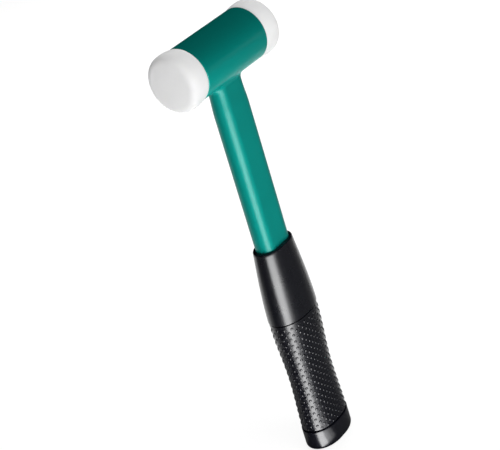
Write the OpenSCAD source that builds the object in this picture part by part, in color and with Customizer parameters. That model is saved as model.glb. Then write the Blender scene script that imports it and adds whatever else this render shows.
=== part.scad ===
// Dead blow hammer: a steel tube head part filled with loose steel shot, two nylon striking faces,
// a flat-oval steel handle welded under the head, and a two-material hand grip.
// Millimetres. +Z runs up the handle, +X along the head, and the origin is the middle of the butt.

/* [Head] */
// Height of the head's axis above the bottom of the butt
reach = 283; // [240:1:340]
// Outside diameter of the head tube
head_d = 35; // [32:0.5:44]
// Length of the head tube
head_len = 59.2; // [54:0.2:80]
// Wall of the head tube round the shot chamber
chamber_wall = 4; // [3.4:0.1:5]
// Wall of the head tube where it is bored out for a face's spigot
seat_wall = 2.6; // [2:0.1:3]
// Rounding of the head tube's outer rims
rim_round = 0.6; // [0.2:0.1:1]

/* [Striking faces] */
// How far a nylon face stands out of the head tube
face_len = 15.4; // [12:0.2:24]
// How far a face swells out beyond the tube's side
face_swell = 0.9; // [0.3:0.1:2]
// Length of the rounded striking edge, along the head
edge_len = 8; // [5:0.2:10]
// How far the rounded striking edge reaches in from the side
edge_in = 4.5; // [3:0.1:7]
// Length of the spigot pressed into the head tube
spigot_len = 10; // [7:0.5:11]
// Height of the ribs round the spigot
rib_h = 0.5; // [0.3:0.1:0.8]
// Number of ribs round the spigot
rib_count = 4; // [2:1:5]

/* [Shot chamber] */
// Thickness of the steel disc that closes each end of the chamber
disc_t = 2.5; // [1.5:0.1:3]
// Diameter of the steel shot
shot_d = 5; // [3.5:0.1:6.5]
// How far the bunched charge can run to either side
shot_travel = 4.5; // [3:0.5:6]
// Height of the top row of shot above the head's axis
shot_level = 5; // [2:0.5:8]

/* [Handle] */
// Broad width of the flat-oval handle, along the head
handle_w = 26.8; // [24:0.2:31]
// Thickness of the flat-oval handle
handle_t = 14.7; // [13:0.1:17]
// Wall of the handle tube
handle_wall = 1.8; // [1.2:0.1:2.4]
// How much the handle draws in on each side just below the head
neck_in = 0.6; // [0.2:0.1:1]
// Length over which the handle draws in
neck_len = 15; // [8:1:30]
// Radius of the weld fillet between the handle and the head
weld_r = 4; // [2.5:0.5:5.5]

/* [Grip] */
// Length of the grip from its top lip to the bottom of the butt
grip_len = 152; // [135:1:175]
// Solid thickness of the butt below the handle
butt_t = 13; // [9:0.5:14]
// How far the ends of the grip's oval are drawn out, against a half circle
end_stretch = 1.4; // [1.2:0.05:1.5]
// Length of the straight part of the grip's broad sides
grip_flat = 4.6; // [3:0.2:8]
// Wall of the collar on its broad sides, at the top lip
collar_wall = 2.6; // [2:0.05:3.2]
// Height of the palm swell above the bottom of the butt
swell_z = 95; // [85:1:110]
// Wall of the grip on its broad sides, at the palm swell
swell_wall = 5.8; // [5:0.05:6.8]
// Height of the waist above the bottom of the butt
waist_z = 54; // [45:1:65]
// Wall of the grip on its broad sides, at the waist
waist_wall = 4.4; // [3.8:0.05:5]
// Height of the flare above the bottom of the butt
flare_z = 12; // [9:0.5:14]
// Wall of the grip on its broad sides, at the flare
flare_wall = 5.4; // [4.8:0.05:6.5]
// Rounding of the butt's bottom edge
butt_round = 3; // [2:0.5:6]
// Rounding of the collar's top lip
lip_round = 0.6; // [0.3:0.05:0.7]
// Height of the soft sleeve's lower end above the bottom of the butt
sleeve_z = 15.2; // [14.6:0.2:24]
// Length of the soft sleeve
sleeve_len = 85.9; // [70:0.1:100]
// Thickness of the soft sleeve
sleeve_t = 1; // [0.8:0.05:1.3]
// How far the sleeve's face lies below the hard part of the grip
sleeve_drop = 0.45; // [0.2:0.05:0.6]
// Width of the groove at each end of the sleeve
groove_w = 1; // [0.6:0.1:1.4]
// Depth of the groove below the sleeve's face
groove_d = 0.6; // [0.3:0.05:0.7]

/* [Handle plug] */
// Thickness of the plug's flange under the handle tube
flange_t = 2; // [1.2:0.1:3]
// Length of the plug inside the handle tube
plug_len = 12; // [6:1:20]
// Lead-in chamfer on the plug's inner end
plug_chamfer = 1; // [0.4:0.1:1.5]

/* [Fits] */
// Clearance between pieces that are pressed, moulded or welded together
fit_gap = 0.05; // [0.03:0.01:0.1]
// Clearance between the loose shot and what surrounds it
shot_clear = 0.3; // [0.2:0.05:0.5]
// Least gap from one ball of shot to the next
shot_gap = 0.1; // [0.06:0.02:0.3]

/* [Hidden] */
$fn = 96;

// Head: radii, and distances along X from the middle of the head
head_r = head_d / 2;
chamber_r = head_r - chamber_wall;
seat_r = head_r - seat_wall;
head_end = head_len / 2;
chamber_end = head_end - spigot_len - disc_t;

// Faces
face_r = head_r + face_swell;
spigot_r = seat_r - fit_gap - rib_h;
rib_pitch = spigot_len / (rib_count + 1);

// Shot: a close-packed heap, shorter than the chamber by its travel
shot_r = shot_d / 2;
shot_pitch = shot_d + shot_gap;
layer_step = shot_pitch * sqrt(2 / 3);
row_step = shot_pitch * sqrt(3) / 2;
heap_r = chamber_r - shot_r - shot_clear;
heap_len = 2 * (chamber_end - shot_clear - shot_travel - shot_r);
layers = floor(heap_len / layer_step) + 1;
rows = ceil(heap_r / row_step) + 1;
columns = ceil(heap_r / shot_pitch) + 1;

// Handle: an oval is two half turns of a profile, set apart by the oval's straight side
oval_side = handle_w - handle_t;
handle_r = handle_t / 2;
neck_r = handle_r - neck_in;
neck_top = reach - head_r - weld_r - fit_gap;
handle_bottom = butt_t + flange_t + 2 * fit_gap;

// Grip: half the oval's thickness at each station
lip_r = handle_r + collar_wall;
swell_r = handle_r + swell_wall;
waist_r = handle_r + waist_wall;
flare_r = handle_r + flare_wall;
sleeve_top = sleeve_z + sleeve_len;
bore_r = handle_r + fit_gap;

// Colours
GREEN = [0.02, 0.46, 0.43];
WHITE = [0.93, 0.93, 0.92];
BLACK = [0.08, 0.08, 0.09];
RUBBER = [0.13, 0.13, 0.14];
STEEL = [0.66, 0.67, 0.69];
NATURAL = [0.85, 0.84, 0.78];

// Points along an arc of an ellipse, from one angle to another
function arc(centre, across, along, from, to, steps = 8) =
    [for (i = [0 : steps])
        let (angle = from + (to - from) * i / steps) centre + [across * cos(angle), along * sin(angle)]];

// A share from 0 to 1 that starts and ends level
function ease(t) = (1 - cos(180 * t)) / 2;

// A value that eases from one level to another as z goes from one height to the next
function between(z, low_z, high_z, low, high) = low + (high - low) * ease((z - low_z) / (high_z - low_z));

// Half the thickness of the grip's oval at height z, above the rounded butt and below the lip
function grip_r(z) =
    z > swell_z ? lip_r + (swell_r - lip_r) * sin(90 * (grip_len - z) / (grip_len - swell_z)) :
    z > waist_z ? between(z, waist_z, swell_z, waist_r, swell_r) :
    z > flare_z ? between(z, flare_z, waist_z, flare_r, waist_r) : flare_r;

// Points of the grip's outside between two heights, set in by an amount
function grip_outline(from, to, inset = 0, step = 3) =
    let (n = ceil(abs(to - from) / step))
    [for (i = [0 : n]) let (z = from + (to - from) * i / n) [grip_r(z) - inset, z]];

// Radius of the handle's oval at height z, drawn in just below the head
function handle_profile_r(z) =
    z > neck_top ? neck_r :
    z > neck_top - neck_len ? between(z, neck_top - neck_len, neck_top, handle_r, neck_r) : handle_r;

// Heights at which the handle's outline turns
function handle_heights(steps = 8) =
    concat([handle_bottom], [for (i = [0 : steps]) neck_top - neck_len * (1 - i / steps)], [reach]);

function reversed(list) = [for (i = [len(list) - 1 : -1 : 0]) list[i]];

// Turns an outline about the head's axis, with the outline's height running along +X
module turned_along_x() {
    rotate([0, 90, 0]) rotate_extrude() children();
}

// Turns an outline of radius and height into an oval: a half turn at each end, which can be drawn out
// along X, and straight between
module oval(outline, side = oval_side, stretch = 1) {
    for (way = [-1, 1])
        translate([way * side / 2, 0, 0]) scale([stretch, 1, 1])
            rotate([0, 0, -90 * way]) rotate_extrude(angle = 180) polygon(outline);
    for (flip = [0, 1])
        mirror([0, flip, 0]) translate([-side / 2, 0, 0]) rotate([90, 0, 90])
            linear_extrude(side) polygon(outline);
}

// Puts a piece at the head, and mirrors it to the left end where it is asked for
module at_head(left = false) {
    translate([0, 0, reach]) mirror([left ? 1 : 0, 0, 0]) children();
}

// Painted steel tube with a thick wall at the chamber and a bored seat at each end
module head_tube() {
    outline = concat(
        [[chamber_r, -chamber_end], [seat_r, -chamber_end], [seat_r, -head_end]],
        arc([head_r - rim_round, -head_end + rim_round], rim_round, rim_round, -90, 0, 4),
        arc([head_r - rim_round, head_end - rim_round], rim_round, rim_round, 0, 90, 4),
        [[seat_r, head_end], [seat_r, chamber_end], [chamber_r, chamber_end]]);
    color(GREEN) at_head() turned_along_x() polygon(outline);
}

// Steel disc on the seat's shoulder, held there by the face's spigot
module chamber_disc(left) {
    color(STEEL) at_head(left) translate([chamber_end + fit_gap, 0, 0]) rotate([0, 90, 0])
        cylinder(r = seat_r - fit_gap, h = disc_t - 2 * fit_gap);
}

// Loose round shot, bunched in the lower part of the chamber
module steel_shot() {
    color(STEEL) at_head()
        for (layer = [0 : layers - 1], row = [-rows : rows], column = [-columns : columns]) {
            odd_layer = layer % 2;
            x = (layer - (layers - 1) / 2) * layer_step;
            y = (column + (abs(row) % 2) / 2 + odd_layer / 2) * shot_pitch;
            z = (row + odd_layer / 3) * row_step;
            if (norm([y, z]) <= heap_r && z <= shot_level) translate([x, y, z]) sphere(r = shot_r);
        }
}

// White nylon face: a slightly swollen block with a rounded striking edge, on a ribbed spigot
module striking_face(left) {
    crest = face_len - edge_len;
    rim_r = head_r - rim_round;
    block = concat(
        [[0, -spigot_len], [spigot_r, -spigot_len], [spigot_r, fit_gap]],
        arc([rim_r, crest], face_r - rim_r, crest - fit_gap, -90, -9, 9),
        arc([face_r - edge_in, crest], edge_in, edge_len, 0, 90, 12),
        [[0, face_len]]);
    rib_r = spigot_r + rib_h;
    rib = [[0, -rib_h], [spigot_r, -rib_h], [rib_r, 0], [rib_r, rib_h / 2], [0, rib_h / 2]];
    color(WHITE) at_head(left) translate([head_end, 0, 0]) {
        turned_along_x() polygon(block);
        for (i = [1 : rib_count])
            translate([-i * rib_pitch, 0, 0]) turned_along_x() polygon(rib);
    }
}

// Flat-oval steel tube, coped at the top to sit under the head
module handle_tube() {
    outside = [for (z = handle_heights()) [handle_profile_r(z), z]];
    inside = [for (z = handle_heights()) [handle_profile_r(z) - handle_wall, z]];
    color(GREEN) difference() {
        oval(concat(outside, reversed(inside)));
        at_head() rotate([0, 90, 0]) cylinder(r = head_r + fit_gap, h = 2 * handle_w, center = true);
    }
}

// Fillet weld round the foot of the handle, as a ball of the fillet's radius would roll in the corner
module weld_bead(steps = 24, arc_steps = 6) {
    wall = neck_r + fit_gap;
    skin = head_r + fit_gap;
    turns = concat([for (i = [0 : steps]) [1, -90 + 180 * i / steps]],
                   [for (i = [0 : steps]) [-1, 90 + 180 * i / steps]]);
    sections = [for (turn = turns)
        let (out = [cos(turn[1]), sin(turn[1]), 0],
             foot = [turn[0] * oval_side / 2, 0, 0],
             ball_y = (wall + weld_r) * out[1],
             ball_z = -sqrt(pow(skin + weld_r, 2) - pow(ball_y, 2)),
             ball = foot + (wall + weld_r) * out + [0, 0, ball_z],
             to_head = -[0, ball_y, ball_z] / (skin + weld_r),
             span = acos(-out * to_head),
             corner = foot + wall * out - [0, 0, sqrt(pow(skin, 2) - pow(wall * out[1], 2))])
        concat([corner],
               [for (i = [0 : arc_steps])
                   let (t = i / arc_steps)
                   ball + weld_r * (sin((1 - t) * span) * -out + sin(t * span) * to_head) / sin(span)])];
    m = arc_steps + 2;
    n = len(sections);
    points = [for (section = sections) each section];
    faces = [for (i = [0 : n - 1], j = [0 : m - 1])
        let (a = i * m + j,
             b = i * m + (j + 1) % m,
             c = (i + 1) % n * m + (j + 1) % m,
             d = (i + 1) % n * m + j)
        each [[a, b, c], [a, c, d]]];
    color(GREEN) at_head() polyhedron(points, faces);
}

// Plastic plug that shuts the lower end of the handle tube, with a flange under the tube
module handle_plug() {
    flange_bottom = butt_t + fit_gap;
    flange_top = flange_bottom + flange_t;
    plug_r = handle_r - handle_wall - fit_gap;
    color(NATURAL) oval([
        [0, flange_bottom], [handle_r, flange_bottom], [handle_r, flange_top], [plug_r, flange_top],
        [plug_r, flange_top + plug_len - plug_chamfer], [plug_r - plug_chamfer, flange_top + plug_len],
        [0, flange_top + plug_len]]);
}

// Hard black body of the grip: butt, collar and the waisted seat of the soft sleeve
module grip_core() {
    seat_inset = sleeve_drop + sleeve_t + fit_gap;
    outline = concat(
        [[0, 0]],
        arc([flare_r - butt_round, butt_round], butt_round, butt_round, -90, 0, 8),
        grip_outline(flare_z, sleeve_z - fit_gap),
        grip_outline(sleeve_z - fit_gap, sleeve_top + fit_gap, seat_inset),
        grip_outline(sleeve_top + fit_gap, grip_len - lip_round),
        arc([lip_r - lip_round, grip_len - lip_round], lip_round, lip_round, 15, 90, 4),
        [[0, grip_len]]);
    bore = [[0, butt_t], [bore_r, butt_t], [bore_r, grip_len + 1], [0, grip_len + 1]];
    color(BLACK) difference() {
        oval(outline, grip_flat, end_stretch);
        oval(bore);
    }
}

// Soft black sleeve round the grip, stepped down at its two ends to leave a fine groove beside the
// hard part
module grip_sleeve() {
    inner = sleeve_drop + sleeve_t;
    groove = sleeve_drop + groove_d;
    outline = concat(
        grip_outline(sleeve_z, sleeve_z + groove_w, groove),
        grip_outline(sleeve_z + groove_w, sleeve_top - groove_w, sleeve_drop),
        grip_outline(sleeve_top - groove_w, sleeve_top, groove),
        grip_outline(sleeve_top, sleeve_z, inner));
    color(RUBBER) oval(outline, grip_flat, end_stretch);
}

head_tube();
chamber_disc(left = true);  // left_chamber_disc
chamber_disc(left = false);  // right_chamber_disc
steel_shot();
striking_face(left = true);  // left_face
striking_face(left = false);  // right_face
handle_tube();
weld_bead();
handle_plug();
grip_core();
grip_sleeve();
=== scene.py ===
from math import acos, ceil, cos, pi, radians, sin, sqrt

import bmesh
import bpy
from mathutils import Matrix, Vector


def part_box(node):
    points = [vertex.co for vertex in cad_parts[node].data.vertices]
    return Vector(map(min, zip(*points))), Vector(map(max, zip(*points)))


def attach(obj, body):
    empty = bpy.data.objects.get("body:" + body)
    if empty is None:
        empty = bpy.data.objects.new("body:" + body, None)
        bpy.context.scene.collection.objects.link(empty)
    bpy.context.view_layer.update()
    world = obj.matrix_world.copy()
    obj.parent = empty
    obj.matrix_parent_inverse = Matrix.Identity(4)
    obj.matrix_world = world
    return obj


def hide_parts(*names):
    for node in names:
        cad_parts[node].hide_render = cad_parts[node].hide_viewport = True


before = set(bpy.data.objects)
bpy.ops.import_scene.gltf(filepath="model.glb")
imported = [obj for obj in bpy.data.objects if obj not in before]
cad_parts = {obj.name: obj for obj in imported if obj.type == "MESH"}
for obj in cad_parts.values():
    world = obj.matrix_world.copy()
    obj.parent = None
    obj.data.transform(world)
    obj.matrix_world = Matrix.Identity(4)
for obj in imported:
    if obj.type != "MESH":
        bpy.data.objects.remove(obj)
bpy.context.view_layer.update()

# Head tube: a thick-walled steel tube across the top of the handle, turned on a lathe, with a chamber
# in the middle and a wider seat bored at each end. It is powder coated green with the handle.
MM = 0.001
tube_low, tube_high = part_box("head_tube")
head_centre = (tube_low + tube_high) / 2
head_r = (tube_high.y - tube_low.y) / 2
head_half = (tube_high.x - tube_low.x) / 2
chamber_wall = 4 * MM
seat_wall = 2.6 * MM
seat_depth = 12.5 * MM
rim_round = 0.6 * MM
chamber_r = head_r - chamber_wall
seat_r = head_r - seat_wall
chamber_half = head_half - seat_depth
crease_angle = 35


def arc(centre, across, along, start, end, steps):
    """Points of radius and distance along an arc of an ellipse, between two angles in degrees."""
    angles = [radians(start + (end - start) * i / steps) for i in range(steps + 1)]
    return [(centre[0] + across * cos(a), centre[1] + along * sin(a)) for a in angles]


def turned(outline, sides=192):
    """Rings of points that turn an outline of radius and distance about the head's axis."""
    angles = [2 * pi * i / sides for i in range(sides)]
    return [[head_centre + Vector((x, r * cos(a), r * sin(a))) for a in angles] for r, x in outline]


def skin(rings, capped=False):
    """Points and faces over rings of equally many points, with a cap at each end or closed on itself."""
    count, last = len(rings[0]), len(rings) - 1
    faces = []
    for j in range(last if capped else last + 1):
        low, high = j * count, (j + 1) % len(rings) * count
        faces += [(low + i, low + (i + 1) % count, high + (i + 1) % count, high + i) for i in range(count)]
    if capped:
        faces += [range(count), range(last * count, last * count + count)]
    return [point for ring in rings for point in ring], faces


def piece(name, points, faces, material, slot, nodes):
    """A smooth object on the hammer's body, which stands for the CAD nodes that are named."""
    mesh = bpy.data.meshes.new(name)
    mesh.from_pydata(points, [], faces)
    form = bmesh.new()
    form.from_mesh(mesh)
    bmesh.ops.recalc_face_normals(form, faces=form.faces)
    form.to_mesh(mesh)
    form.free()
    mesh.shade_smooth()
    mesh.set_sharp_from_angle(angle=radians(crease_angle))
    mesh.materials.append(material)
    made = bpy.data.objects.new(name, mesh)
    bpy.context.scene.collection.objects.link(made)
    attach(made, "hammer")
    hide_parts(*nodes)


def linear(code):
    """Linear colour of an sRGB hex value."""
    parts = [int(code[i:i + 2], 16) / 255 for i in (1, 3, 5)]
    return [p / 12.92 if p <= 0.04045 else ((p + 0.055) / 1.055) ** 2.4 for p in parts] + [1]


def finish(name):
    """A new material, its node tree and its shader."""
    material = bpy.data.materials.new(name)
    material.use_nodes = True
    return material, material.node_tree, material.node_tree.nodes["Principled BSDF"]


def add(tree, kind, inputs=None, **settings):
    """Adds a shader node with its settings, and gives each named input its value or its link."""
    node = tree.nodes.new("ShaderNode" + kind)
    for key, value in settings.items():
        setattr(node, key, value)
    for key, value in (inputs or {}).items():
        if isinstance(value, bpy.types.NodeSocket):
            tree.links.new(value, node.inputs[key])
        else:
            node.inputs[key].default_value = value
    return node


# A powder coat with fine metal flakes bakes to a satin skin with a faint orange peel about a millimetre
# across. The flakes give it a green sheen that darkens where it turns from the light, and the clear
# resin over them adds a thin gloss.
# The colour sockets of a Mix node share their names with others, so they go by number.
MIX_A, MIX_B, MIX_RESULT = 6, 7, 2
powder_coat, tree, shader = finish("green powder coat on steel")
place = add(tree, "TexCoord").outputs["Object"]
peel = add(tree, "TexNoise", {"Vector": place, "Scale": 1 / (1.1 * MM), "Detail": 1.5})
cloud = add(tree, "TexNoise", {"Vector": place, "Scale": 1 / (14 * MM), "Detail": 2})
colour = add(tree, "Mix", {0: cloud.outputs[0], MIX_A: linear("#008C83"), MIX_B: linear("#009289")},
             data_type="RGBA")
gloss = add(tree, "MapRange", {"Value": peel.outputs[0], "To Min": 0.68, "To Max": 0.76})
relief = add(tree, "Bump", {"Height": peel.outputs[0], "Strength": 0.25, "Distance": 0.02 * MM})
tree.links.new(colour.outputs[MIX_RESULT], shader.inputs["Base Color"])
tree.links.new(gloss.outputs[0], shader.inputs["Roughness"])
tree.links.new(relief.outputs[0], shader.inputs["Normal"])
shader.inputs["Metallic"].default_value = 0.6
shader.inputs["Specular IOR Level"].default_value = 0
shader.inputs["Specular Tint"].default_value = linear("#1FA89C")
shader.inputs["Coat Weight"].default_value = 0.39
shader.inputs["Coat Roughness"].default_value = 0.28
shader.inputs["Coat IOR"].default_value = 1.5

tube_outline = (
    [(chamber_r, -chamber_half), (seat_r, -chamber_half), (seat_r, -head_half)]
    + arc((head_r - rim_round, rim_round - head_half), rim_round, rim_round, -90, 0, steps=6)
    + arc((head_r - rim_round, head_half - rim_round), rim_round, rim_round, 0, 90, steps=6)
    + [(seat_r, head_half), (seat_r, chamber_half), (chamber_r, chamber_half)])
piece("painted_head_tube", *skin(turned(tube_outline)), powder_coat, "green_paint", ["head_tube"])

# Chamber discs and shot: blanked steel discs shut the chamber, and loose ball shot fills half of it.
# The shot runs on after each blow. All of it is bare steel, tumbled bright.
# Tumbling leaves a bright grey skin whose fine scuffs dull it unevenly.
tumbled_steel, tree, shader = finish("bare tumbled steel")
place = add(tree, "TexCoord").outputs["Object"]
scuff = add(tree, "TexNoise", {"Vector": place, "Scale": 1 / (0.8 * MM), "Detail": 4})
gloss = add(tree, "MapRange", {"Value": scuff.outputs[0], "To Min": 0.2, "To Max": 0.4})
tree.links.new(gloss.outputs[0], shader.inputs["Roughness"])
shader.inputs["Base Color"].default_value = linear("#C4C5C8")
shader.inputs["Metallic"].default_value = 1
for node in ("left_chamber_disc", "right_chamber_disc", "steel_shot"):
    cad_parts[node].data.materials.clear()
    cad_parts[node].data.materials.append(tumbled_steel)

# Striking faces: two plugs of white nylon, turned from bar, each pressed into its seat on a ribbed
# spigot. The side swells a little past the tube and rolls over into a slightly crowned striking face.
spigot_len = 10 * MM
rib_h = 0.5 * MM
rib_count = 4
face_swell = 0.9 * MM
swell_steps = 15
edge_len = 8 * MM
edge_in = 5.5 * MM
edge_power = 2.8
edge_steps = 40
crown = 0.6 * MM
crown_shares = (0.9, 0.75, 0.6, 0.45, 0.3, 0.15, 0.05)
face_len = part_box("right_face")[1].x - head_half
face_r = head_r + face_swell
crown_r = face_r - edge_in
crest = face_len - edge_len
rim_r = head_r - rim_round
spigot_r = seat_r - rib_h

# Nylon is a milky white that lets a little light in, with a satin skin. Its grain is drawn at half a
# millimetre, coarser than life, so that it shows.
nylon, tree, shader = finish("turned white nylon")
place = add(tree, "TexCoord").outputs["Object"]
bloom = add(tree, "TexNoise", {"Vector": place, "Scale": 1 / (6 * MM), "Detail": 3})
colour = add(tree, "Mix", {0: bloom.outputs[0], MIX_A: linear("#EEEEEE"), MIX_B: linear("#F4F4F4")},
             data_type="RGBA")
grain = add(tree, "TexNoise", {"Vector": place, "Scale": 1 / (0.5 * MM), "Detail": 2})
relief = add(tree, "Bump", {"Height": grain.outputs[0], "Strength": 0.15, "Distance": 0.01 * MM})
tree.links.new(colour.outputs[MIX_RESULT], shader.inputs["Base Color"])
tree.links.new(relief.outputs[0], shader.inputs["Normal"])
shader.inputs["Roughness"].default_value = 0.55
shader.inputs["IOR"].default_value = 1.53
shader.inputs["Specular IOR Level"].default_value = 0.15
shader.inputs["Subsurface Weight"].default_value = 0.2
shader.inputs["Subsurface Radius"].default_value = (1, 1, 0.9)
shader.inputs["Subsurface Scale"].default_value = 1.5 * MM

spigot = [(spigot_r, -spigot_len)]
for i in range(rib_count, 0, -1):
    x = -i * spigot_len / (rib_count + 1)
    spigot += [(spigot_r, x - rib_h), (seat_r, x), (seat_r, x + rib_h / 2), (spigot_r, x + rib_h / 2)]
edge = []
for i in range(edge_steps + 1):
    turn = radians(90 * i / edge_steps)
    r = crown_r + edge_in * cos(turn) ** (2 / edge_power)
    rise = sin(turn) ** (2 / edge_power)
    edge.append((r, crest + rise * (edge_len - crown * (r / crown_r) ** 2)))
face_outline = (
    spigot + [(spigot_r, 0)]
    + arc((rim_r, crest), face_r - rim_r, crest, -90, 0, swell_steps)[:-1]
    + edge
    + [(crown_r * share, face_len - crown * share ** 2) for share in crown_shares])
for name, node, way in (("near_nylon_face", "left_face", -1), ("far_nylon_face", "right_face", 1)):
    placed = [(r, way * (head_half + x)) for r, x in face_outline]
    piece(name, *skin(turned(placed), capped=True), nylon, "nylon", [node])

# Handle: a steel tube pressed to a flat oval, drawn in a little below the head and coped to sit
# against it. It takes the same powder coat.
handle_low, handle_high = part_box("handle_tube")
handle_r = (handle_high.y - handle_low.y) / 2
handle_side = handle_high.x - handle_low.x - 2 * handle_r
handle_wall = 1.8 * MM
weld_r = 4 * MM
neck_in = 0.6 * MM
neck_len = 15 * MM
neck_steps = 12
neck_r = handle_r - neck_in
neck_top = head_centre.z - head_r - weld_r
turn_steps, side_steps = 40, 16


def ease(t):
    """A share from 0 to 1 that starts and ends level."""
    return (1 - cos(pi * t)) / 2


def oval(r, side=handle_side, stretch=1):
    """Points round an oval: straight sides and half turns of radius r, which can be drawn out."""
    points = []
    for way in (1, -1):
        turn = [radians(180 * i / turn_steps - 90) for i in range(turn_steps + 1)]
        points += [(way * (side / 2 + stretch * r * cos(a)), way * r * sin(a)) for a in turn]
        points += [(way * side * (0.5 - i / side_steps), way * r) for i in range(1, side_steps)]
    return points


def neck(z):
    """Radius of the handle's oval at height z."""
    return handle_r + (neck_r - handle_r) * ease(min(max((z - neck_top) / neck_len + 1, 0), 1))


def wall(inset):
    """Rings up one side of the handle's wall, the last of them along the head."""
    heights = [handle_low.z] + [neck_top - neck_len * (1 - i / neck_steps) for i in range(neck_steps + 1)]
    rings = [[(x, y, z) for x, y in oval(neck(z) - inset)] for z in heights]
    cope = [(x, y, head_centre.z - sqrt(head_r ** 2 - y ** 2)) for x, y in oval(neck_r - inset)]
    return rings + [cope]


piece("painted_handle", *skin(wall(0) + wall(handle_wall)[::-1]), powder_coat, "green_paint", ["handle_tube"])

# Weld: a steel fillet run all round the handle where it meets the head, and dressed smooth before
# coating, so it has the hollow that a ball would leave when it is rolled round the corner.
fillet_steps = 16
sections = []
for x, y in oval(neck_r):
    foot = min(max(x, -handle_side / 2), handle_side / 2)
    out = Vector(((x - foot) / neck_r, y / neck_r, 0))
    ball = Vector((foot, 0, 0)) + out * (neck_r + weld_r)
    ball.z = -sqrt((head_r + weld_r) ** 2 - ball.y ** 2)
    to_head = -Vector((0, ball.y, ball.z)) / (head_r + weld_r)
    span = acos(-out.dot(to_head))
    corner = Vector((x, y, -sqrt(head_r ** 2 - y ** 2)))
    hollow = []
    for i in range(fillet_steps + 1):
        turn = span * i / fillet_steps
        way = (-out * sin(span - turn) + to_head * sin(turn)) / sin(span)
        hollow.append(ball + weld_r * way)
    sections.append([head_centre + point for point in [corner] + hollow])
piece("painted_weld", *skin(sections), powder_coat, "green_paint", ["weld_bead"])

# Handle plug: a moulded polypropylene stopper in the lower end of the handle tube, left uncoloured.
# It keeps the grip's melt out of the tube. Uncoloured polypropylene is a hazy cream.
polypropylene, tree, shader = finish("natural polypropylene")
place = add(tree, "TexCoord").outputs["Object"]
haze = add(tree, "TexNoise", {"Vector": place, "Scale": 1 / (3 * MM), "Detail": 2})
colour = add(tree, "Mix", {0: haze.outputs[0], MIX_A: linear("#D8D6CB"), MIX_B: linear("#E2E0D6")},
             data_type="RGBA")
tree.links.new(colour.outputs[MIX_RESULT], shader.inputs["Base Color"])
shader.inputs["Roughness"].default_value = 0.5
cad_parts["handle_plug"].data.materials.clear()
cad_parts["handle_plug"].data.materials.append(polypropylene)

# Grip body: hard black plastic moulded over the handle, with a smooth collar, a smooth butt and a
# waisted seat between them for the soft sleeve. Fine grooves part it from the sleeve.
grip_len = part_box("grip_core")[1].z
sleeve_low, sleeve_high = (corner.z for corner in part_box("grip_sleeve"))
bore_floor = 13 * MM
grip_flat = 4.6 * MM
end_stretch = 1.4
lip_r = handle_r + 2.6 * MM
swell_r, swell_z = handle_r + 5.8 * MM, 95 * MM
waist_r, waist_z = handle_r + 4.4 * MM, 54 * MM
flare_r, flare_z = handle_r + 5.4 * MM, 12 * MM
butt_shares = (0.1, 0.5)
butt_round = 3 * MM
lip_round = 0.6 * MM
edge_round = 0.3 * MM
edge_lean = 15
sleeve_t = 1 * MM
sleeve_drop = 0.45 * MM
fit_gap = 0.05 * MM
seat = sleeve_drop + sleeve_t
low_edge, high_edge = sleeve_low - fit_gap, sleeve_high + fit_gap


def grip_r(z):
    """Half the thickness of the grip's oval at height z."""
    if z > swell_z:
        return lip_r + (swell_r - lip_r) * sin(pi / 2 * (grip_len - z) / (grip_len - swell_z))
    if z > waist_z:
        return waist_r + (swell_r - waist_r) * ease((z - waist_z) / (swell_z - waist_z))
    return flare_r + (waist_r - flare_r) * ease(max(z - flare_z, 0) / (waist_z - flare_z))


def grip_side_line(start, end, inset=0, step=1.5 * MM):
    """Points of radius and height down or up the grip's outside, set in by an amount."""
    count = ceil(abs(end - start) / step)
    heights = [start + (end - start) * i / count for i in range(count + 1)]
    return [(grip_r(z) - inset, z) for z in heights]


def ovals(outline):
    """Rings that carry an outline of radius and height round the grip's oval."""
    return [[(x, y, z) for x, y in oval(r, grip_flat, end_stretch)] for r, z in outline]


# The plastic is ABS with a semi-gloss moulded skin: near black, with a spark-eroded grain that is drawn
# coarser than life so that it shows, and a gloss that varies a little from place to place.
abs_plastic, tree, shader = finish("moulded black ABS")
place = add(tree, "TexCoord").outputs["Object"]
grain = add(tree, "TexNoise", {"Vector": place, "Scale": 1 / (0.35 * MM), "Detail": 2})
smear = add(tree, "TexNoise", {"Vector": place, "Scale": 1 / (9 * MM), "Detail": 3})
gloss = add(tree, "MapRange", {"Value": smear.outputs[0], "To Min": 0.25, "To Max": 0.31})
relief = add(tree, "Bump", {"Height": grain.outputs[0], "Strength": 0.1, "Distance": 0.01 * MM})
tree.links.new(gloss.outputs[0], shader.inputs["Roughness"])
tree.links.new(relief.outputs[0], shader.inputs["Normal"])
shader.inputs["Base Color"].default_value = linear("#0C0D15")
shader.inputs["IOR"].default_value = 1.56

low_bend = (grip_r(low_edge) - edge_round, low_edge - edge_round)
high_bend = (grip_r(high_edge) - edge_round, high_edge + edge_round)
core_outline = (
    [(flare_r * share, 0) for share in butt_shares]
    + arc((flare_r - butt_round, butt_round), butt_round, butt_round, -90, 0, steps=12)
    + grip_side_line(flare_z / 2, low_edge - edge_round)
    + arc(low_bend, edge_round, edge_round, edge_lean, 90, steps=4)
    + grip_side_line(low_edge, high_edge, seat)
    + arc(high_bend, edge_round, edge_round, -90, -edge_lean, steps=4)
    + grip_side_line(high_edge + edge_round, grip_len - lip_round)
    + arc((lip_r - lip_round, grip_len - lip_round), lip_round, lip_round, edge_lean, 90, steps=5))
bore = [[(x, y, z) for x, y in oval(handle_r)] for z in (grip_len, bore_floor)]
piece("black_grip_body", *skin(ovals(core_outline) + bore, capped=True), abs_plastic, "black_plastic",
      ["grip_core"])

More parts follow.
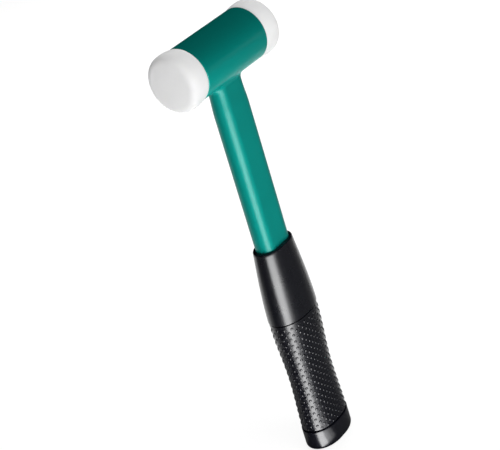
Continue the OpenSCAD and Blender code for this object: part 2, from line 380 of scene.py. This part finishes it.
# Sleeve: soft thermoplastic rubber moulded into the seat and stepped down at its ends, which leaves a
# groove. Raised dots stand on it in staggered columns, so that it doesn't slip in the hand.
groove_w = 1 * MM
groove_d = 0.6 * MM
dot_columns = 40
dot_pitch = 5 * MM
dot_margin = 2 * MM
dot_r = 1.0 * MM
dot_h = 0.38 * MM
dot_sides = 14
dot_sink = 0.1
dome_steps = 8
dome_end = 81.82
dome_width_power, dome_rise_power = 0.8, 1.5
dome_turns = [radians(dome_end * i / dome_steps) for i in range(1, dome_steps + 1)]
dome = [(1, -dot_sink)] + [(cos(a) ** dome_width_power, sin(a) ** dome_rise_power) for a in dome_turns]
slope_step = 1 * MM


def round_oval(share, r):
    """Point and outward direction at a share of the way round the grip's oval, from its front's middle."""
    ring = [Vector((x, y, 0)) for x, y in oval(r, grip_flat, end_stretch)]
    ring = ring[-side_steps // 2:] + ring[:-side_steps // 2]
    steps = [after - before for before, after in zip(ring, ring[1:] + ring[:1])]
    run = share * sum(step.length for step in steps)
    for point, step in zip(ring, steps):
        if run <= step.length:
            break
        run -= step.length
    along = step.normalized()
    return point + along * run, Vector((along.y, -along.x, 0))


# Thermoplastic rubber takes the mould's polish about as well as the plastic does, but its skin is
# slightly mottled, which breaks up the light on it. The mottle is drawn coarser than life.
soft_rubber, tree, shader = finish("black thermoplastic rubber")
place = add(tree, "TexCoord").outputs["Object"]
grain = add(tree, "TexNoise", {"Vector": place, "Scale": 1 / (0.4 * MM), "Detail": 3})
gloss = add(tree, "MapRange", {"Value": grain.outputs[0], "To Min": 0.24, "To Max": 0.32})
relief = add(tree, "Bump", {"Height": grain.outputs[0], "Strength": 0.2, "Distance": 0.02 * MM})
tree.links.new(gloss.outputs[0], shader.inputs["Roughness"])
tree.links.new(relief.outputs[0], shader.inputs["Normal"])
shader.inputs["Base Color"].default_value = linear("#0C0D15")
shader.inputs["IOR"].default_value = 1.54

sleeve_outline = (
    grip_side_line(sleeve_low, sleeve_low + groove_w, sleeve_drop + groove_d)
    + grip_side_line(sleeve_low + groove_w, sleeve_high - groove_w, sleeve_drop)
    + grip_side_line(sleeve_high - groove_w, sleeve_high, sleeve_drop + groove_d)
    + grip_side_line(sleeve_high, sleeve_low, seat))
points, faces = skin(ovals(sleeve_outline))
dot_rows = int((sleeve_high - sleeve_low - 2 * dot_margin) / dot_pitch * 2) + 1
dot_turns = [2 * pi * i / dot_sides for i in range(dot_sides)]
for row in range(dot_rows):
    z = sleeve_low + dot_margin + row * dot_pitch / 2
    slope = (grip_r(z + slope_step / 2) - grip_r(z - slope_step / 2)) / slope_step
    for column in range(row % 2, dot_columns, 2):
        foot, out = round_oval(column / dot_columns, grip_r(z) - sleeve_drop)
        foot.z = z
        along = Vector((0, 0, 1)).cross(out)
        out = (out - Vector((0, 0, slope))).normalized()
        up = out.cross(along)
        rings = []
        for share, rise in dome:
            level = foot + out * dot_h * rise
            rings.append([level + (along * cos(a) + up * sin(a)) * dot_r * share for a in dot_turns])
        dot_points, dot_faces = skin(rings, capped=True)
        faces += [[len(points) + i for i in face] for face in dot_faces]
        points += dot_points
piece("dotted_rubber_sleeve", points, faces, soft_rubber, "black_rubber", ["grip_sleeve"])

# Studio: a white table that shows pure white to the eye, with two soft lamps above it and the main one
# below, shining up through it as on a light table. Gloss alone sees the sheets on the table and the dark
# hood, which are painted reflections, and the band among them glows, though it is no lamp, to paint the
# long highlight down the handle and grip.
aim = Vector((-39.3, -24.0, 190.4)) * MM
view_azimuth, view_elevation, view_roll = -45.94, 25.90, -17.13
view_distance = 824.8 * MM
lens_mm = 100
ambient = 0.40
seen_glow = 0.85
table_size = 8.0
inner_r, foot_r, rear_r, reflection_r = 0.005, 0.12, 0.36, 1.5
reflection_lift = 0.4 * MM
hood_r = 3.0
hood_step, hood_rows, hood_sides = 11, 9, 24
painted_highlight_glow, painted_fringe_glow, painted_foot_glow = 10.8, 1.2, 3.5


def facing(azimuth, elevation):
    """Rotation of a camera or lamp that looks back from this direction; azimuth 0 looks along +Y."""
    return Matrix.Rotation(radians(azimuth), 4, "Z") @ Matrix.Rotation(radians(90 - elevation), 4, "X")


def seen_share(tree):
    """1 for rays that come from the eye, from gloss or through glass, and 0 for light that scatters."""
    path = add(tree, "LightPath")
    gloss_or_eye = add(tree, "Math", {0: path.outputs["Is Camera Ray"], 1: path.outputs["Is Glossy Ray"]},
                       operation="MAXIMUM")
    return add(tree, "Math", {0: gloss_or_eye.outputs[0], 1: path.outputs["Is Transmission Ray"]},
               operation="MAXIMUM").outputs[0]


def lamp(name, azimuth, reach, height, tilt, size, brightness):
    """A soft square lamp that gloss doesn't see, at a reach and a height, and tilted down in degrees."""
    data = bpy.data.lights.new(name, "AREA")
    data.size = size
    data.energy = brightness * pi * size ** 2
    data.cycles.use_multiple_importance_sampling = False
    made = bpy.data.objects.new(name, data)
    spin = Matrix.Rotation(radians(azimuth), 4, "Z")
    made.matrix_world = spin @ Matrix.Translation((0, -reach, height)) @ facing(0, tilt)
    made.visible_glossy = False
    bpy.context.scene.collection.objects.link(made)


def sheet(name, points, faces, material):
    """A flat or curved sheet of the studio."""
    mesh = bpy.data.meshes.new(name)
    mesh.from_pydata(points, [], faces)
    mesh.materials.append(material)
    made = bpy.data.objects.new(name, mesh)
    bpy.context.scene.collection.objects.link(made)
    return made


def reflection_sheet(name, colour, rings, glow=0, sides=8):
    """A sheet that paints a reflection, seen by gloss alone, over rings of radius, height, first and last
    azimuth.
    """
    reflection_stock, tree, shader = finish(name)
    shader.inputs["Base Color"].default_value = linear(colour)
    shader.inputs["Specular IOR Level"].default_value = 0
    shader.inputs["Emission Color"].default_value = (1, 1, 1, 1)
    # A glow makes the sheet a painted highlight or a brighter painted reflection; it is no lamp.
    shader.inputs["Emission Strength"].default_value = glow
    points = []
    for r, z, start, end in rings:
        turns = [radians(start + (end - start) * i / sides) for i in range(sides + 1)]
        points += [(r * sin(a), -r * cos(a), z) for a in turns]
    count = sides + 1
    faces = [(j * count + i, j * count + i + 1, j * count + count + i + 1, j * count + count + i)
             for j in range(len(rings) - 1) for i in range(sides)]
    made = sheet(name, points, faces, reflection_stock)
    for sight in ("camera", "diffuse", "transmission", "volume_scatter", "shadow"):
        setattr(made, "visible_" + sight, False)


# The table is matt white paint. The eye and gloss see it glow, so it stays white and keeps a faint shadow.
white_table, tree, shader = finish("white table")
tree.nodes.remove(shader)
matt = add(tree, "BsdfDiffuse", {"Color": linear("#F0F0F0")})
shade = add(tree, "BsdfDiffuse", {"Color": linear("#8A8A8A")})
glow = add(tree, "Emission", {"Strength": seen_glow})
seen = add(tree, "AddShader", {0: shade.outputs[0], 1: glow.outputs[0]})
surface = add(tree, "MixShader", {0: seen_share(tree), 1: matt.outputs[0], 2: seen.outputs[0]})
tree.links.new(surface.outputs[0], tree.nodes["Material Output"].inputs["Surface"])
half = table_size / 2
table = sheet("table", [(-half, -half, 0), (half, -half, 0), (half, half, 0), (-half, half, 0)], [range(4)],
              white_table)
table.visible_shadow = False

# Each painted reflection has its colour, its glow, its inner and outer radius and the azimuths that it spans.
for name, colour, glow, near, far, start, end in (
        ("left_painted_reflection", "#454545", 0, inner_r, reflection_r, -118, -30),
        ("right_painted_reflection", "#707070", 0, inner_r, reflection_r, -30, 60),
        ("side_painted_reflection", "#949494", 0, inner_r, reflection_r, 60, 84),
        ("bright_painted_reflection", "#FFFFFF", 0.4, inner_r, rear_r, 84, 112),
        ("bright_far_painted_reflection", "#A8A8A8", 0, rear_r, reflection_r, 84, 112),
        ("foot_painted_reflection", "#929292", 0, inner_r, foot_r, 112, 208),
        ("back_painted_reflection", "#FFFFFF", 0.6, foot_r, reflection_r, 112, 208),
        ("heel_painted_reflection", "#A0A0A0", 0, inner_r, foot_r, -152, -118),
        ("rear_painted_reflection", "#FFFFFF", 0, foot_r, rear_r, -152, -130),
        ("flank_painted_reflection", "#C4C4C4", 0, foot_r, rear_r, -130, -118),
        ("far_painted_reflection", "#606060", 0, rear_r, reflection_r, -152, -118)):
    reflection_sheet(name, colour, [(near, reflection_lift, start, end), (far, reflection_lift, start, end)], glow)

# The band is a glowing sheet, no lamp, that paints the highlight. It runs out from the hammer's foot and
# widens as it goes. Each row has a radius, the band's left and right azimuth, and the azimuth where a
# fainter painted fringe at its right ends.
band = [(0.021, -68, -45, -12), (0.04, -68, -42, -14), (0.06, -67, -38, -18), (0.1, -62, -33, -19),
        (0.15, -50, -25, -14), (0.22, -50, -21, -10), (0.3, -50, -18, -7), (0.36, -55, -17, -6),
        (0.52, -55, -14, -3), (1.0, -55, -11, 0)]
# A glowing patch by the hammer's foot, no lamp, paints a fainter highlight low on the grip.
painted_foot_highlight = [(0.021, -45, -28), (0.045, -41, -29)]
reflection_sheet("painted_highlight_band", "#FFFFFF", [(r, 2 * reflection_lift, left, right) for r, left, right, end in band], painted_highlight_glow)
reflection_sheet("painted_highlight_fringe", "#FFFFFF", [(r, 2 * reflection_lift, right, end) for r, left, right, end in band], painted_fringe_glow)
reflection_sheet("painted_foot_highlight", "#FFFFFF", [(r, 3 * reflection_lift, left, right) for r, left, right in painted_foot_highlight], painted_foot_glow)
# The hood is a dark dome that gloss alone sees: it paints dark reflections where a surface faces up.
hood_lifts = [radians(hood_step * i) for i in range(hood_rows)]
reflection_sheet("painted_dark_hood", "#0A0A0A", [(hood_r * cos(a), hood_r * sin(a), 0, 360) for a in hood_lifts], sides=hood_sides)

world = bpy.data.worlds.new("studio")
bpy.context.scene.world = world
world.use_nodes = True
tree = world.node_tree
tree.nodes.clear()
room = add(tree, "Background", {"Color": (1, 1, 1, 1), "Strength": ambient})
white = add(tree, "Background", {"Color": (1, 1, 1, 1), "Strength": 1})
mixed = add(tree, "MixShader", {0: seen_share(tree), 1: room.outputs[0], 2: white.outputs[0]})
add(tree, "OutputWorld", {"Surface": mixed.outputs[0]})

lamp("key", azimuth=-52, reach=0.77, height=-0.21, tilt=-25, size=0.7, brightness=3.05)
lamp("front_fill", azimuth=10, reach=0.8, height=1.15, tilt=50, size=0.8, brightness=2.75)
lamp("back_fill", azimuth=118, reach=1.13, height=0.56, tilt=20, size=0.8, brightness=2.9)

camera_data = bpy.data.cameras.new("camera")
camera_data.lens = lens_mm
camera = bpy.data.objects.new("camera", camera_data)
view_turn = facing(view_azimuth, view_elevation)
camera.matrix_world = (Matrix.Translation(aim + view_turn.col[2].to_3d() * view_distance)
                       @ view_turn @ Matrix.Rotation(radians(view_roll), 4, "Z"))
bpy.context.scene.collection.objects.link(camera)
bpy.context.scene.camera = camera
bpy.context.scene.view_settings.view_transform = "Standard"
